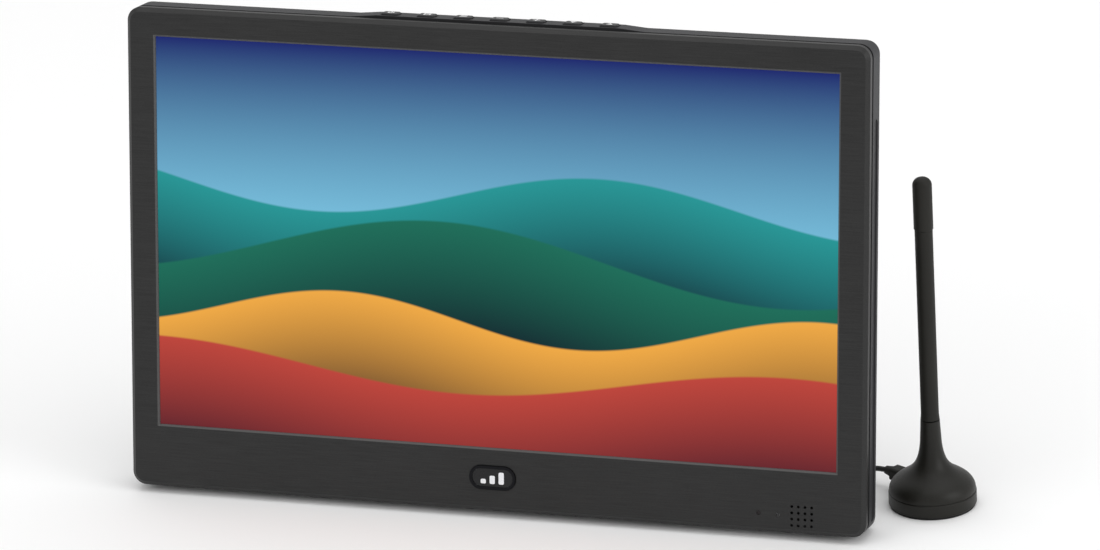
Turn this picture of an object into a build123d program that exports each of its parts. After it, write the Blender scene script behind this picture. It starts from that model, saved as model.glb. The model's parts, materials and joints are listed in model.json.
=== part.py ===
"""Portable television with a magnetic-base antenna, leaning on its rear kickstand.

Millimetres, +Z up, +X to the viewer's right, +Y away from the viewer.  The origin is the centre of the
foot strip's underside.  The set leans back, so its own parts are placed by three families of planes:
behind(depth) is parallel to the screen, above(height) is parallel to the set's underside, and
across(x) is parallel to its side walls.
"""

import os
from math import acos, cos, pi, radians, sin, tan

from build123d import *

os.makedirs("parts", exist_ok=True)

# ---------------------------------------------------------------- driving dimensions
LEAN = 10  # degrees that the set leans back
WIDTH, HEIGHT, CORNER = 278, 177.6, 5  # outline of the set, seen from the front
UNDERSIDE_LIFT = 3.0  # height of the front face's lower edge above the table

PICTURE_WIDTH, PICTURE_HEIGHT, PICTURE_BOTTOM = 256.1, 144.0, 23.3  # 11.6-inch 16:9 panel
BEZEL_DEPTH, FACE, SKIRT = 4.0, 1.2, 2.0  # front frame: depth, face thickness, side wall
BEVEL, WINDOW_BEVEL = 1.5, 0.6
SEAM_WIDTH, SEAM_INSET = 1.6, 1.2  # dark groove between the two casings
BODY_DEPTH, HOUSING_DEPTH = 18.0, 25.0  # back wall, and the raised middle of the back
SIDE_WALL, BACK_WALL, BACK_ROUND = 2.4, 1.8, 4.2
TONGUE_INSET = SIDE_WALL + 0.8

HOUSING_HALF, HOUSING_LOW, HOUSING_HIGH = 95, 12, 150  # raised middle of the back
RECESS_HALF, RECESS_TOP, RECESS_FLOOR = 36, 110, 19.2  # pocket for the folded kickstand
VENT_SPREAD, VENT_HEIGHT, VENT_PITCH, VENT_COUNT, VENT_SLOT = 68, 133, 4.6, 9, (16, 2)
GRIP_DEPTH, GRIP_MIDDLE, GRIP_SLOT = 10.0, 77, (146, 4.4)

BUTTON_NAMES = ("power", "source", "menu", "volume_down", "volume_up", "channel_down", "channel_up")
BUTTON_PITCH, BUTTON_DEPTH = 13.67, 9.6
BUTTON_LENGTH, BUTTON_WIDTH, BUTTON_RISE = 6.5, 5.0, 0.65
HUMP_RISE, HUMP_FLAT, HUMP_END = 0.85, 45.5, 55.0

STAND_HALF, STAND_THICKNESS, STAND_LENGTH = 35.5, 3.2, 104.0
HINGE_HEIGHT, HINGE_DEPTH, HINGE_PIN = 105, 22.0, 1.0

FOOT_HALF, FOOT_DEPTH, FOOT_WIDTH, FOOT_SUNK = 110, 12.0, 5.0, 1.0

BADGE_HEIGHT, BADGE_LENGTH, BADGE_BREADTH = 12.4, 17.4, 8.8
BADGE_CORNER, BADGE_RIM, BADGE_POCKET = 4.3, 1.05, 0.5
GRILLE_PITCH, GRILLE_ROWS, GRILLE_HOLE = (2.45, 2.3), 4, 0.52
INFRARED, LAMP, GRILLE = (99.7, 6.8), (106.8, 6.5), (115.6, 6.5)
SPEAKER = (115.6, 8.0)
COVER_SCREWS = ((-130, 8), (-48, 8), (48, 8), (130, 8))
BOARD_SCREWS = ((-130, 47), (-130, 127), (-48, 47), (-48, 127), (97.5, 40), (97.5, 124))

BOARD_FRONT, BOARD_THICK = 11.6, 1.6
BOARD_LEFT, BOARD_RIGHT, BOARD_LOW, BOARD_HIGH = -134.5, -42, 42, 132
PORT_DEPTH, PORT_FACE = 8.8, -136.4

SOCKET_PLACE, SOCKET_BORE = (118, 46), 1.75
ANTENNA_X, ANTENNA_Y = 153.2, 30.4
CORD_DIAMETER = 2.0
COIL_X, COIL_Y, COIL_RADIUS, COIL_HALF, COIL_HEIGHT = 85, 62, 11.0, 3.3, 8.4

# ---------------------------------------------------------------- the leaning set's own planes
lean = radians(LEAN)
set_y = -(FOOT_DEPTH - UNDERSIDE_LIFT * sin(lean)) / cos(lean)
TV = Plane(origin=(0, set_y, UNDERSIDE_LIFT), x_dir=(1, 0, 0), z_dir=(0, -cos(lean), sin(lean)))
FRONT = Axis((0, 0, 0), TV.z_dir)
UP = Axis((0, 0, 0), TV.y_dir)


def behind(depth):
    """Plane parallel to the screen, depth behind the front face; its sketches are (x, height)."""
    return TV.offset(-depth)


def above(height):
    """Plane parallel to the underside; its sketches are (x, depth)."""
    return Plane(TV.from_local_coords((0, height, 0)), x_dir=(1, 0, 0), z_dir=TV.y_dir)


def across(x):
    """Plane parallel to the side walls; its sketches are (depth, height)."""
    return Plane(TV.from_local_coords((x, 0, 0)), x_dir=-TV.z_dir, z_dir=(1, 0, 0))


def inside(x, height, depth):
    """World position of a point given in the set's own directions."""
    return TV.from_local_coords((x, height, -depth))


def save(piece, name):
    """Label a finished piece and write its STEP file."""
    piece.part.label = name
    export_step(piece.part, f"parts/{name}.step")


# ---------------------------------------------------------------- front casing
with BuildPart() as front_bezel:
    with BuildSketch(TV):
        with Locations((0, HEIGHT / 2)):
            RectangleRounded(WIDTH, HEIGHT, CORNER)
    extrude(amount=-BEZEL_DEPTH)
    chamfer(front_bezel.faces().sort_by(FRONT)[-1].edges(), BEVEL)
    with BuildSketch(behind(FACE)):
        with Locations((0, HEIGHT / 2)):
            RectangleRounded(WIDTH - 2 * SKIRT, HEIGHT - 2 * SKIRT, CORNER - SKIRT)
    extrude(amount=FACE - BEZEL_DEPTH, mode=Mode.SUBTRACT)
    with BuildSketch(TV):
        with Locations((0, PICTURE_BOTTOM + PICTURE_HEIGHT / 2)):
            Rectangle(PICTURE_WIDTH, PICTURE_HEIGHT)
    extrude(amount=-FACE, mode=Mode.SUBTRACT)
    chamfer(front_bezel.faces().sort_by(FRONT)[-1].inner_wires()[0].edges(), WINDOW_BEVEL)
    with BuildSketch(behind(FACE)):  # snap tongues that hook inside the rear cover
        for x in (-115, -70, 70, 115):
            with Locations((x, HEIGHT - TONGUE_INSET)):
                Rectangle(8, 1.2)
        for side in (-1, 1):
            for height in (45, 130):
                with Locations((side * (WIDTH / 2 - TONGUE_INSET), height)):
                    Rectangle(1.2, 8)
    extrude(amount=-6.8)
    with BuildSketch(behind(FACE)):  # screw posts, and pegs that hold the small remote-eye board
        with Locations(*COVER_SCREWS):
            Circle(3)
    extrude(amount=-6.8)
    with BuildSketch(behind(FACE)):
        with Locations((96.6, 10.6), (106.6, 10.6)):
            Circle(1.2)
    extrude(amount=-4.8)
    with BuildSketch(behind(8)):
        with Locations(*COVER_SCREWS):
            Circle(1.1)
    extrude(amount=5.4, mode=Mode.SUBTRACT)
    with BuildSketch(TV):
        with Locations((0, BADGE_HEIGHT)):
            RectangleRounded(BADGE_LENGTH + 0.2, BADGE_BREADTH + 0.2, BADGE_CORNER + 0.1)
    extrude(amount=-BADGE_POCKET, mode=Mode.SUBTRACT)
    with BuildSketch(TV):  # eye, lamp and the little grille
        with Locations(INFRARED):
            Circle(0.85)
        with Locations(LAMP):
            Circle(0.75)
        with Locations(GRILLE):
            with GridLocations(*GRILLE_PITCH, GRILLE_ROWS, GRILLE_ROWS):
                Circle(GRILLE_HOLE)
    extrude(amount=-FACE, mode=Mode.SUBTRACT)
save(front_bezel, "front_bezel")

with BuildPart() as badge_plate:
    with BuildSketch(behind(BADGE_POCKET)):
        with Locations((0, BADGE_HEIGHT)):
            RectangleRounded(BADGE_LENGTH, BADGE_BREADTH, BADGE_CORNER)
    extrude(amount=BADGE_POCKET + 0.2)
save(badge_plate, "badge_plate")

with BuildPart() as badge_trim:
    with BuildSketch(behind(-0.2)):
        with Locations((0, BADGE_HEIGHT)):
            RectangleRounded(BADGE_LENGTH, BADGE_BREADTH, BADGE_CORNER)
            RectangleRounded(
                BADGE_LENGTH - 2 * BADGE_RIM,
                BADGE_BREADTH - 2 * BADGE_RIM,
                BADGE_CORNER - BADGE_RIM,
                mode=Mode.SUBTRACT,
            )
        for step in range(3):  # three rising bars
            tall = 1.7 + 1.35 * step
            with Locations((3.4 * (step - 1), BADGE_HEIGHT - 2.2 + tall / 2)):
                RectangleRounded(2.0, tall, 0.5)
    extrude(amount=0.3)
save(badge_trim, "badge_trim")


def front_plug(place, radius, front, back):
    """A clear plug that stands in a hole of the front face, with a flange behind the face."""
    with BuildPart() as plug:
        with BuildSketch(behind(front)):
            with Locations(place):
                Circle(radius)
        extrude(amount=front - back)
        with BuildSketch(behind(FACE)):
            with Locations(place):
                Circle(radius + 0.5)
        extrude(amount=-0.6)
    return plug


ir_window = front_plug(INFRARED, 0.8, 0.3, 3.0)
save(ir_window, "ir_window")
led_light_pipe = front_plug(LAMP, 0.7, 0.2, 4.4)
save(led_light_pipe, "led_light_pipe")

# ---------------------------------------------------------------- display panel, front to back
PANEL_MIDDLE = 93.5
GLASS, GUIDE, SHEET = FACE + 0.3, 2.7, 4.5


def panel_layer(width, height, middle, depth, thickness):
    """One flat rectangular layer of the display panel."""
    with BuildPart() as layer:
        with BuildSketch(behind(depth)):
            with Locations((0, middle)):
                Rectangle(width, height)
        extrude(amount=-thickness)
    return layer


with BuildPart() as panel_gasket:
    with BuildSketch(behind(FACE)):
        with Locations((0, PICTURE_BOTTOM + PICTURE_HEIGHT / 2)):
            Rectangle(PICTURE_WIDTH + 5, PICTURE_HEIGHT + 5)
            Rectangle(PICTURE_WIDTH + 1, PICTURE_HEIGHT + 1, mode=Mode.SUBTRACT)
    extrude(amount=FACE - GLASS)
save(panel_gasket, "panel_gasket")

lcd_cell = panel_layer(266, 155.5, PANEL_MIDDLE, GLASS, GUIDE - GLASS)
save(lcd_cell, "lcd_cell")
light_guide = panel_layer(264, 152, PANEL_MIDDLE + 1.5, GUIDE, SHEET - GUIDE)
save(light_guide, "light_guide")
reflector_sheet = panel_layer(264, 152, PANEL_MIDDLE + 1.5, SHEET, 0.3)
save(reflector_sheet, "reflector_sheet")

with BuildPart() as led_bar:  # circuit strip with its row of lamps facing up into the light guide
    with BuildSketch(above(16.2)):
        with Locations((0, 3.6)):
            Rectangle(250, 1.6)
    extrude(amount=0.6)
    with BuildSketch(above(16.8)):
        with Locations((0, 3.6)):
            with GridLocations(8, 0, 31, 1):
                Rectangle(3.6, 1.2)
    extrude(amount=0.9)
save(led_bar, "led_bar")

with BuildPart() as panel_tray:
    with BuildSketch(behind(1.9)):
        with Locations((0, PANEL_MIDDLE)):
            Rectangle(268, 157.5)
            Rectangle(266.8, 156.3, mode=Mode.SUBTRACT)
    extrude(amount=-2.9)
    with BuildSketch(behind(4.8)):
        with Locations((0, PANEL_MIDDLE)):
            Rectangle(268, 157.5)
    extrude(amount=-0.4)
save(panel_tray, "panel_tray")

with BuildPart() as panel_driver_board:
    with BuildSketch(behind(5.2)):
        with Locations((0, 23)):
            Rectangle(200, 12)
    extrude(amount=-1.2)
    with BuildSketch(behind(6.4)):
        with Locations((-35, 23), (10, 23), (55, 23)):
            Rectangle(14, 7)
    extrude(amount=-1.0)
save(panel_driver_board, "panel_driver_board")

# ---------------------------------------------------------------- rear casing
with BuildPart() as rear_cover:
    with BuildSketch(behind(BEZEL_DEPTH + SEAM_WIDTH)):
        with Locations((0, HEIGHT / 2)):
            RectangleRounded(WIDTH, HEIGHT, CORNER)
    extrude(amount=BEZEL_DEPTH + SEAM_WIDTH - BODY_DEPTH)
    fillet(rear_cover.faces().sort_by(FRONT)[0].edges(), BACK_ROUND)
    with BuildSketch(behind(HOUSING_DEPTH)):  # raised middle, narrower at its crown
        with Locations((0, (HOUSING_LOW + HOUSING_HIGH) / 2)):
            RectangleRounded(2 * HOUSING_HALF, HOUSING_HIGH - HOUSING_LOW, 9)
    extrude(amount=HOUSING_DEPTH - BODY_DEPTH + 1, taper=-25)
    fillet(rear_cover.faces().sort_by(FRONT)[0].edges(), 1.2)
    with BuildSketch(behind(BEZEL_DEPTH + SEAM_WIDTH)):  # low hump under the row of buttons
        with BuildLine():
            Polyline(
                (-HUMP_END, HEIGHT - 0.5),
                (-HUMP_END, HEIGHT),
                (-HUMP_FLAT, HEIGHT + HUMP_RISE),
                (HUMP_FLAT, HEIGHT + HUMP_RISE),
                (HUMP_END, HEIGHT),
                (HUMP_END, HEIGHT - 0.5),
                close=True,
            )
        make_face()
    extrude(amount=-8.0)
    with BuildSketch(behind(BEZEL_DEPTH)):  # narrow band that shows as the dark seam
        with Locations((0, HEIGHT / 2)):
            RectangleRounded(WIDTH - 2 * SEAM_INSET, HEIGHT - 2 * SEAM_INSET, CORNER - SEAM_INSET)
    extrude(amount=-SEAM_WIDTH - 0.4)
    with BuildSketch(behind(BEZEL_DEPTH)):
        with Locations((0, HEIGHT / 2)):
            RectangleRounded(WIDTH - 2 * SIDE_WALL, HEIGHT - 2 * SIDE_WALL, CORNER - SIDE_WALL)
    extrude(amount=BEZEL_DEPTH - BODY_DEPTH + BACK_WALL, mode=Mode.SUBTRACT)
    with BuildSketch(behind(BODY_DEPTH - BACK_WALL - 0.1)):  # room inside the raised middle
        with Locations((0, (HOUSING_LOW + HOUSING_HIGH) / 2)):
            Rectangle(2 * HOUSING_HALF - 4, HOUSING_HIGH - HOUSING_LOW - 4)
        with Locations((0, RECESS_TOP / 2)):
            Rectangle(2 * RECESS_HALF + 4, RECESS_TOP + 4, mode=Mode.SUBTRACT)
    extrude(amount=BODY_DEPTH - HOUSING_DEPTH + 0.1, mode=Mode.SUBTRACT)
    with BuildSketch(behind(BODY_DEPTH - BACK_WALL - 0.1)):  # thinner wall under the recess floor
        with Locations((0, 62)):
            Rectangle(2 * RECESS_HALF - 4, 92)
    extrude(amount=-1.3, mode=Mode.SUBTRACT)
    with BuildSketch(behind(HOUSING_DEPTH + 1)):  # recess for the folded kickstand
        with Locations((0, RECESS_TOP / 2)):
            Rectangle(2 * RECESS_HALF, RECESS_TOP)
    extrude(amount=HOUSING_DEPTH + 1 - RECESS_FLOOR, mode=Mode.SUBTRACT)
    for side in (-1, 1):  # bosses for the kickstand's two hinge pins
        with BuildSketch(across(side * RECESS_HALF)):
            with Locations((HINGE_DEPTH, HINGE_HEIGHT)):
                Circle(2.9)
        extrude(amount=side * 5)
        with BuildSketch(across(side * RECESS_HALF)):
            with Locations((HINGE_DEPTH, HINGE_HEIGHT)):
                Circle(HINGE_PIN)
        extrude(amount=side * 4.5, mode=Mode.SUBTRACT)
    with BuildSketch(behind(8)):  # tubes for the cover screws
        with Locations(*COVER_SCREWS):
            Circle(3.6)
    extrude(amount=8 - BODY_DEPTH + 0.5)
    with BuildSketch(behind(8)):
        with Locations(*COVER_SCREWS):
            Circle(1.35)
    extrude(amount=-10, mode=Mode.SUBTRACT)
    with BuildSketch(behind(12)):
        with Locations(*COVER_SCREWS):
            Circle(2.6)
    extrude(amount=-6, mode=Mode.SUBTRACT)
    with BuildSketch(behind(BOARD_FRONT + BOARD_THICK)):  # posts behind the main board and battery
        with Locations(*[place for place in BOARD_SCREWS if abs(place[0]) > HOUSING_HALF]):
            Circle(3)
    extrude(amount=-4)
    with BuildSketch(behind(BOARD_FRONT + BOARD_THICK)):
        with Locations(*[place for place in BOARD_SCREWS if abs(place[0]) < HOUSING_HALF]):
            Circle(3)
    extrude(amount=-11)
    with BuildSketch(behind(BOARD_FRONT + BOARD_THICK)):
        with Locations(*BOARD_SCREWS):
            Circle(1.1)
    extrude(amount=-3.4, mode=Mode.SUBTRACT)
    with BuildSketch(above(HEIGHT - SIDE_WALL - 0.1)):  # button slots
        with GridLocations(BUTTON_PITCH, 0, len(BUTTON_NAMES), 1):
            with Locations((0, BUTTON_DEPTH)):
                RectangleRounded(BUTTON_LENGTH + 0.6, BUTTON_WIDTH + 0.6, 1.4)
    extrude(amount=SIDE_WALL + HUMP_RISE + 1, mode=Mode.SUBTRACT)
    for x in (-34, 0, 34):  # ribs that carry the button board
        with BuildSketch(across(x - 0.8)):
            with Locations((12.2, 164.2)):
                Rectangle(8.2, 1.6)
        extrude(amount=1.6)
    with BuildSketch(across(-WIDTH / 2 - 1)):  # side sockets
        with Locations((PORT_DEPTH, 104)):
            RectangleRounded(6.2, 15.6, 0.6)
        with Locations((PORT_DEPTH, 86)):
            RectangleRounded(6.2, 13.7, 0.6)
        with Locations((PORT_DEPTH, 118), (PORT_DEPTH, 71), (PORT_DEPTH, 61)):
            Circle(2.9)
    extrude(amount=SIDE_WALL + 1.2, mode=Mode.SUBTRACT)
    with BuildSketch(behind(BODY_DEPTH - BACK_WALL - 0.5)):  # antenna socket
        with Locations(SOCKET_PLACE):
            Circle(3.6)
    extrude(amount=-3, mode=Mode.SUBTRACT)
    with BuildSketch(above(0)):  # groove for the foot strip
        with Locations((0, FOOT_DEPTH)):
            Rectangle(2 * FOOT_HALF, FOOT_WIDTH)
    extrude(amount=FOOT_SUNK, mode=Mode.SUBTRACT)
    with BuildSketch(behind(HOUSING_DEPTH + 0.5)):  # vent slots over the main board
        with Locations(*[(side * VENT_SPREAD, VENT_HEIGHT) for side in (-1, 0, 1)]):
            with GridLocations(VENT_PITCH, 0, VENT_COUNT, 1):
                SlotOverall(*VENT_SLOT, rotation=90)
    extrude(amount=3, mode=Mode.SUBTRACT)
    with BuildSketch(across(WIDTH / 2 + 0.5)):  # shallow finger grip along the right wall
        with Locations((GRIP_DEPTH, GRIP_MIDDLE)):
            SlotOverall(*GRIP_SLOT, rotation=90)
    extrude(amount=-1.0, mode=Mode.SUBTRACT)
save(rear_cover, "rear_cover")

with BuildPart() as cover_screws:
    with BuildSketch(behind(12)):
        with Locations(*COVER_SCREWS):
            Circle(2.3)
    extrude(amount=-1.8)
    with BuildSketch(behind(12)):
        with Locations(*COVER_SCREWS):
            Circle(1.25)
    extrude(amount=9)
    with BuildSketch(behind(13.8)):  # cross recess
        with Locations(*COVER_SCREWS):
            Rectangle(2.4, 0.6)
            Rectangle(0.6, 2.4)
    extrude(amount=0.9, mode=Mode.SUBTRACT)
save(cover_screws, "cover_screws")


def table_height(depth):
    """Height, along the leaning set, at which a given depth meets the table."""
    return (depth * sin(lean) - UNDERSIDE_LIFT) / cos(lean)


with BuildPart() as foot_strip:
    foot_front, foot_rear = FOOT_DEPTH - FOOT_WIDTH / 2, FOOT_DEPTH + FOOT_WIDTH / 2
    with BuildSketch(across(-FOOT_HALF)):
        with BuildLine():
            Polyline(
                (foot_front, FOOT_SUNK),
                (foot_rear, FOOT_SUNK),
                (foot_rear, table_height(foot_rear)),
                (foot_front, table_height(foot_front)),
                close=True,
            )
        make_face()
    extrude(amount=2 * FOOT_HALF)
save(foot_strip, "foot_strip")

# ---------------------------------------------------------------- kickstand
hinge = inside(0, HINGE_HEIGHT, HINGE_DEPTH)
stand_slope = acos(hinge.Z / STAND_LENGTH)
STAND = Plane(origin=hinge, x_dir=(1, 0, 0), z_dir=(0, -cos(stand_slope), -sin(stand_slope)))
STAND_SIDE = Plane(origin=hinge, x_dir=STAND.z_dir, z_dir=(-1, 0, 0))  # sketches are (forward, up)
heel = 3.4

with BuildPart() as kickstand:
    with BuildSketch(STAND.offset(-STAND_THICKNESS / 2)):
        with BuildLine():
            Polyline(
                (-STAND_HALF, heel),
                (STAND_HALF, heel),
                (STAND_HALF, -40),
                (STAND_HALF - 6, 2 - STAND_LENGTH),
                (6 - STAND_HALF, 2 - STAND_LENGTH),
                (-STAND_HALF, -40),
                close=True,
            )
        make_face()
    extrude(amount=STAND_THICKNESS)
    with BuildSketch(STAND.offset(-STAND_THICKNESS / 2)):  # shallow panel pressed into its rear face
        with Locations((0, -52)):
            RectangleRounded(44, 74, 5)
    extrude(amount=0.9, mode=Mode.SUBTRACT)
    with BuildSketch(Plane(hinge, x_dir=(0, 1, 0), z_dir=(1, 0, 0))):
        Circle(2.5)
    extrude(amount=STAND_HALF, both=True)
    for side in (-1, 1):
        with BuildSketch(Plane(hinge + Vector(side * STAND_HALF, 0, 0), x_dir=(0, 1, 0), z_dir=(1, 0, 0))):
            Circle(HINGE_PIN + 0.06)
        extrude(amount=-side * 8, mode=Mode.SUBTRACT)
save(kickstand, "kickstand")

with BuildPart() as kickstand_pins:
    for side in (-1, 1):
        pin_end = hinge + Vector(side * (RECESS_HALF + 4.4), 0, 0)
        with BuildSketch(Plane(pin_end, x_dir=(0, 1, 0), z_dir=(1, 0, 0))):
            Circle(HINGE_PIN)
        extrude(amount=-side * 11.9)
save(kickstand_pins, "kickstand_pins")

with BuildPart() as kickstand_pad:  # rubber tip, its underside flat on the table
    pad_half, pad_top = 2.3, 2 - STAND_LENGTH
    with BuildSketch(STAND_SIDE):
        with BuildLine():
            Polyline(
                (-pad_half, pad_top + 4),
                (pad_half, pad_top + 4),
                (pad_half, -STAND_LENGTH + pad_half * tan(stand_slope)),
                (-pad_half, -STAND_LENGTH - pad_half * tan(stand_slope)),
                close=True,
            )
        make_face()
        with Locations((0, pad_top + 3)):
            Rectangle(STAND_THICKNESS, 6, mode=Mode.SUBTRACT)
    extrude(amount=27, both=True)
save(kickstand_pad, "kickstand_pad")

# ---------------------------------------------------------------- buttons and their board
def button_cap(x):
    """A push button: cap in its slot, a flange that keeps it in, and a stem over its switch."""
    flange_top = HEIGHT - SIDE_WALL - 0.3
    cap_top = HEIGHT + HUMP_RISE + BUTTON_RISE
    with BuildPart() as cap:
        with BuildSketch(above(flange_top)):
            with Locations((x, BUTTON_DEPTH)):
                RectangleRounded(BUTTON_LENGTH, BUTTON_WIDTH, 1.2)
        extrude(amount=cap_top - flange_top)
        fillet(cap.faces().sort_by(UP)[-1].edges(), 0.5)
        with BuildSketch(above(flange_top)):
            with Locations((x, BUTTON_DEPTH)):
                RectangleRounded(BUTTON_LENGTH + 1.7, BUTTON_WIDTH + 1.6, 1.0)
        extrude(amount=-1.0)
        with BuildSketch(above(flange_top - 1.0)):
            with Locations((x, BUTTON_DEPTH)):
                Circle(1.5)
        extrude(amount=-2.8)
    return cap


for number, name in enumerate(BUTTON_NAMES):
    save(button_cap((number - 3) * BUTTON_PITCH), f"{name}_button")

with BuildPart() as key_board:
    with BuildSketch(above(165.0)):
        with Locations((-4, 11)):
            Rectangle(108, 7.6)
    extrude(amount=1.2)
save(key_board, "key_board")

with BuildPart() as tact_switches:
    with BuildSketch(above(166.2)):
        with GridLocations(BUTTON_PITCH, 0, len(BUTTON_NAMES), 1):
            with Locations((0, 10.4)):
                Rectangle(6, 6)
    extrude(amount=3.1)
    with BuildSketch(above(169.3)):
        with GridLocations(BUTTON_PITCH, 0, len(BUTTON_NAMES), 1):
            with Locations((0, BUTTON_DEPTH)):
                Circle(1.7)
    extrude(amount=0.7)
save(tact_switches, "tact_switches")

# ---------------------------------------------------------------- remote eye, lamp and speaker
with BuildPart() as ir_led_board:
    with BuildSketch(behind(6)):
        with Locations((101.6, 8.4)):
            Rectangle(13, 10)
    extrude(amount=-1.2)
save(ir_led_board, "ir_led_board")

with BuildPart() as ir_and_lamp_parts:
    with BuildSketch(behind(3.2)):
        with Locations(INFRARED):
            Rectangle(4, 4)
    extrude(amount=-2.8)
    with BuildSketch(behind(4.8)):
        with Locations(LAMP):
            Rectangle(1.6, 1.6)
    extrude(amount=-1.2)
save(ir_and_lamp_parts, "ir_and_lamp_parts")

with BuildPart() as speaker_frame:
    with BuildSketch(behind(FACE)):
        with Locations(SPEAKER):
            RectangleRounded(14, 10.6, 3)
            RectangleRounded(11.4, 8.4, 2.4, mode=Mode.SUBTRACT)
    extrude(amount=-3.2)
    with BuildSketch(behind(FACE + 3.2)):
        with Locations(SPEAKER):
            RectangleRounded(14, 10.6, 3)
            Circle(3.1, mode=Mode.SUBTRACT)
    extrude(amount=-0.6)
save(speaker_frame, "speaker_frame")

with BuildPart() as speaker_cone:
    with BuildSketch(behind(2.6)):
        with Locations(SPEAKER):
            RectangleRounded(11.4, 8.4, 2.4)
    with BuildSketch(behind(3.6)):
        with Locations(SPEAKER):
            RectangleRounded(7, 5, 2.2)
    loft()
    with BuildSketch(behind(3.6)):
        with Locations(SPEAKER):
            Circle(2.4)
    extrude(amount=-1.4)
save(speaker_cone, "speaker_cone")

with BuildPart() as speaker_magnet:
    with BuildSketch(behind(5.0)):
        with Locations(SPEAKER):
            Circle(4.4)
    extrude(amount=-2.6)
save(speaker_magnet, "speaker_magnet")

# ---------------------------------------------------------------- main board and what stands on it
board_back = BOARD_FRONT + BOARD_THICK
with BuildPart() as main_board:
    with BuildSketch(behind(BOARD_FRONT)):
        with Locations(((BOARD_LEFT + BOARD_RIGHT) / 2, (BOARD_LOW + BOARD_HIGH) / 2)):
            Rectangle(BOARD_RIGHT - BOARD_LEFT, BOARD_HIGH - BOARD_LOW)
        with Locations(*BOARD_SCREWS[:4]):
            Circle(1.45, mode=Mode.SUBTRACT)
    extrude(amount=-BOARD_THICK)
save(main_board, "main_board")

with BuildPart() as tuner_can:
    with BuildSketch(behind(board_back)):
        with Locations((-73, 60)):
            RectangleRounded(26, 22, 1)
    extrude(amount=-5)
save(tuner_can, "tuner_can")

with BuildPart() as board_components:  # chips, capacitors and coils
    with BuildSketch(behind(board_back)):
        with Locations((-70, 96)):
            Rectangle(19, 19)
        with Locations((-101, 96), (-101, 80), (-104, 62)):
            Rectangle(12, 9)
    extrude(amount=-1.4)
    with BuildSketch(behind(board_back)):
        with Locations((-51, 74), (-51, 83), (-51, 65)):
            Circle(3.1)
    extrude(amount=-7)
    with BuildSketch(behind(board_back)):
        with Locations((-84, 120), (-74, 120), (-64, 120)):
            RectangleRounded(7, 7, 1.2)
    extrude(amount=-4)
save(board_components, "board_components")

with BuildPart() as heat_sink:
    with BuildSketch(behind(board_back + 1.4)):
        with Locations((-70, 96)):
            Rectangle(26, 26)
    extrude(amount=-1.2)
    with BuildSketch(behind(board_back + 2.6)):
        with Locations((-70, 96)):
            with GridLocations(4.1, 0, 7, 1):
                Rectangle(1.2, 26)
    extrude(amount=-5)
save(heat_sink, "heat_sink")

with BuildPart() as board_connectors:
    with BuildSketch(behind(board_back)):
        with Locations((-47.5, 112), (-55.6, 49)):
            Rectangle(7, 9)
    extrude(amount=-4.6)
    with BuildSketch(behind(BOARD_FRONT)):
        with Locations((-72, 58)):
            Rectangle(24, 5)
    extrude(amount=2)
save(board_connectors, "board_connectors")


def side_socket(height, breadth, thickness, length):
    """Plane-aligned block of a side socket; its cavity is cut by the caller."""
    with BuildPart() as block:
        with BuildSketch(across(PORT_FACE)):
            with Locations((PORT_DEPTH + (5.6 - thickness) / 2, height)):
                RectangleRounded(thickness, breadth, 0.6)
        extrude(amount=length)
    return block


with BuildPart() as hdmi_socket:
    add(side_socket(104, 15, 5.6, 11.5).part)
    with BuildSketch(across(PORT_FACE)):
        with Locations((PORT_DEPTH, 104)):
            RectangleRounded(4.6, 14, 0.5)
            with Locations((0.3, 0)):
                Rectangle(1.0, 11, mode=Mode.SUBTRACT)
    extrude(amount=9, mode=Mode.SUBTRACT)
save(hdmi_socket, "hdmi_socket")

with BuildPart() as usb_socket:
    add(side_socket(86, 13.1, 5.6, 14).part)
    with BuildSketch(across(PORT_FACE)):
        with Locations((PORT_DEPTH, 86)):
            RectangleRounded(4.9, 12.4, 0.3)
            with Locations((-1.2, 0)):
                Rectangle(1.6, 11, mode=Mode.SUBTRACT)
    extrude(amount=12, mode=Mode.SUBTRACT)
save(usb_socket, "usb_socket")

with BuildPart() as audio_sockets:
    for height in (71, 61):
        add(side_socket(height, 6.4, 5.6, 13).part)
    with BuildSketch(across(PORT_FACE)):
        with Locations((PORT_DEPTH, 71), (PORT_DEPTH, 61)):
            Circle(1.8)
    extrude(amount=12, mode=Mode.SUBTRACT)
save(audio_sockets, "audio_sockets")

with BuildPart() as power_socket:
    add(side_socket(118, 7, 5.6, 11).part)
    with BuildSketch(across(PORT_FACE)):
        with Locations((PORT_DEPTH, 118)):
            Circle(2.1)
            Circle(0.65, mode=Mode.SUBTRACT)
    extrude(amount=9, mode=Mode.SUBTRACT)
save(power_socket, "power_socket")

# ---------------------------------------------------------------- battery
with BuildPart() as battery_tray:
    with BuildSketch(behind(12)):
        with Locations((67, 82)):
            Rectangle(50, 130)
        with Locations((96.5, 40), (96.5, 124)):
            Rectangle(9, 10)
        with Locations(*BOARD_SCREWS[4:]):
            Circle(1.45, mode=Mode.SUBTRACT)
    extrude(amount=12 - board_back)
    with BuildSketch(behind(board_back)):
        with Locations((67, 82)):
            Rectangle(50, 130)
            Rectangle(47.6, 127.6, mode=Mode.SUBTRACT)
    extrude(amount=-3.4)
save(battery_tray, "battery_tray")

with BuildPart() as battery_cells:
    with BuildSketch(behind(board_back)):
        with Locations((67, 50.5), (67, 113.5)):
            RectangleRounded(46, 61, 3)
    extrude(amount=-8.6)
save(battery_cells, "battery_cells")

with BuildPart() as board_screws:
    for place, head in zip(BOARD_SCREWS, [BOARD_FRONT] * 4 + [12, 12]):
        with BuildSketch(behind(head)):
            with Locations(place):
                Circle(2.25)
        extrude(amount=1.5)
        with BuildSketch(behind(head)):
            with Locations(place):
                Circle(1.25)
        extrude(amount=-4.6)
save(board_screws, "board_screws")


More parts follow.
